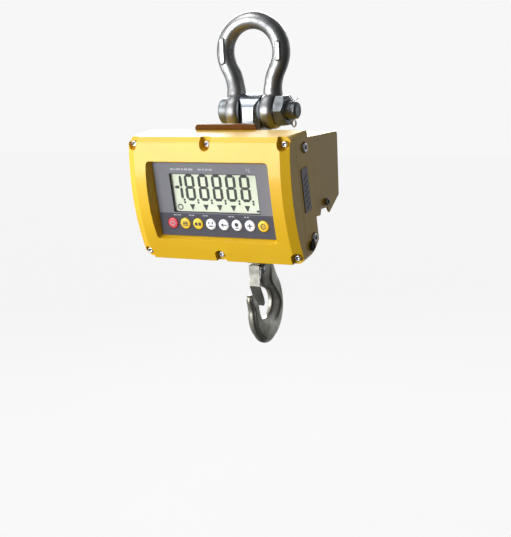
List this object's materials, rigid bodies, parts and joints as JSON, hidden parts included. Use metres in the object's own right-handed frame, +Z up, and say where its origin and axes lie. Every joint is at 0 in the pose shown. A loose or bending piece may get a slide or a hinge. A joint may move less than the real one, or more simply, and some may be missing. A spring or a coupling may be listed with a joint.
{
  "type": "crane scale",
  "caption": "Hanging crane scale with a bow shackle, tilted display housing with keys, rear battery cover and a latched load hook.",
  "frame": {"origin": "inner crown of the shackle bow, on the load line, where the sling carries the scale", "axes": "+Z up along the load line, -Y the way the display faces, +X to the right of someone reading the display"},
  "size_m": [0.1686, 0.1529, 0.3224],
  "materials": {
    "bright_steel": "bright galvanised and machined steel, satin",
    "screw_steel": "bright zinc-plated steel",
    "bracket_paint": "dark ochre paint on aluminium plate",
    "plain_aluminium": "plain sheet",
    "yellow_paint": "semi-gloss yellow paint on aluminium",
    "cover_paint": "the same yellow paint on folded sheet steel",
    "black_rubber": "matt black",
    "panel_film": "grey printed polyester film",
    "clear_window": "clear window",
    "lcd_cell": "pale grey-green liquid crystal cell",
    "board_green": "green lacquered circuit board",
    "label_film": "pale grey label film",
    "black_plastic": "black moulded plastic",
    "battery_case": "dark plastic case of a sealed lead-acid block, with the block's density",
    "forged_steel": "dull forged steel",
    "key_red": "red key",
    "key_yellow": "yellow key",
    "key_white": "off-white key"
  },
  "bodies": {
    "shackle": {"shackle_bow": "bright_steel", "shackle_bolt": "bright_steel", "shackle_nut": "bright_steel", "shackle_split_pin": "screw_steel"},
    "scale_body": {"load_cell": "bright_steel", "mounting_bracket": "bracket_paint", "bracket_bolt_1": "screw_steel", "bracket_bolt_2": "screw_steel", "bracket_bolt_3": "screw_steel", "bracket_bolt_4": "screw_steel", "front_cover": "yellow_paint", "rear_shell": "yellow_paint", "cover_gasket": "black_rubber", "keypad_overlay": "panel_film", "display_window": "clear_window", "lcd_module": "lcd_cell", "main_board": "board_green", "inner_frame": "plain_aluminium", "cover_screw_1": "screw_steel", "cover_screw_2": "screw_steel", "cover_screw_3": "screw_steel", "cover_screw_4": "screw_steel", "cover_screw_5": "screw_steel", "cover_screw_6": "screw_steel", "side_screw_1": "screw_steel", "side_screw_2": "screw_steel", "side_screw_3": "screw_steel", "side_screw_4": "screw_steel", "housing_screw_1": "screw_steel", "housing_screw_2": "screw_steel", "housing_screw_3": "screw_steel", "housing_screw_4": "screw_steel", "side_label": "label_film", "vent_plug": "black_rubber", "lead_gland": "black_plastic", "rear_cover": "cover_paint", "rear_cover_screw_1": "screw_steel", "rear_cover_screw_2": "screw_steel", "battery_holder": "plain_aluminium", "battery_pack": "battery_case", "cell_lead": "black_rubber", "hook_pin": "bright_steel", "hook_split_pin": "screw_steel"},
    "hook": {"hook": "forged_steel", "latch_pin": "bright_steel"},
    "latch": {"latch": "forged_steel", "latch_spring": "screw_steel"},
    "key_1": {"key_1": "key_red"},
    "key_2": {"key_2": "key_yellow"},
    "key_3": {"key_3": "key_yellow"},
    "key_4": {"key_4": "key_white"},
    "key_5": {"key_5": "key_white"},
    "key_6": {"key_6": "key_white"},
    "key_7": {"key_7": "key_white"},
    "key_8": {"key_8": "key_yellow"}
  },
  "joints": [
    {"name": "shackle_swing", "type": "hinge", "parent": "shackle", "child": "scale_body", "pos_m": [0, 0, -0.0775], "axis": [1, 0, 0], "range_deg": [-85, 85]},
    {"name": "hook_swing", "type": "hinge", "parent": "scale_body", "child": "hook", "pos_m": [0, 0, -0.2175], "axis": [1, 0, 0], "range_deg": [-45, 45]},
    {"name": "latch_pivot", "type": "hinge", "parent": "hook", "child": "latch", "pos_m": [0, -0.0108, -0.2283], "axis": [1, 0, 0], "range_deg": [0, 20], "stiffness_Nm_per_rad": 0.02, "springref_deg": -22.92},
    {"name": "key_1_press", "type": "slide", "parent": "scale_body", "child": "key_1", "axis": [0, 0.9827, 0.185], "range_m": [0, 0.0006], "stiffness_N_per_m": 900, "springref_m": -0.0005},
    {"name": "key_2_press", "type": "slide", "parent": "scale_body", "child": "key_2", "axis": [0, 0.9827, 0.185], "range_m": [0, 0.0006], "stiffness_N_per_m": 900, "springref_m": -0.0005},
    {"name": "key_3_press", "type": "slide", "parent": "scale_body", "child": "key_3", "axis": [0, 0.9827, 0.185], "range_m": [0, 0.0006], "stiffness_N_per_m": 900, "springref_m": -0.0005},
    {"name": "key_4_press", "type": "slide", "parent": "scale_body", "child": "key_4", "axis": [0, 0.9827, 0.185], "range_m": [0, 0.0006], "stiffness_N_per_m": 900, "springref_m": -0.0005},
    {"name": "key_5_press", "type": "slide", "parent": "scale_body", "child": "key_5", "axis": [0, 0.9827, 0.185], "range_m": [0, 0.0006], "stiffness_N_per_m": 900, "springref_m": -0.0005},
    {"name": "key_6_press", "type": "slide", "parent": "scale_body", "child": "key_6", "axis": [0, 0.9827, 0.185], "range_m": [0, 0.0006], "stiffness_N_per_m": 900, "springref_m": -0.0005},
    {"name": "key_7_press", "type": "slide", "parent": "scale_body", "child": "key_7", "axis": [0, 0.9827, 0.185], "range_m": [0, 0.0006], "stiffness_N_per_m": 900, "springref_m": -0.0005},
    {"name": "key_8_press", "type": "slide", "parent": "scale_body", "child": "key_8", "axis": [0, 0.9827, 0.185], "range_m": [0, 0.0006], "stiffness_N_per_m": 900, "springref_m": -0.0005}
  ]
}
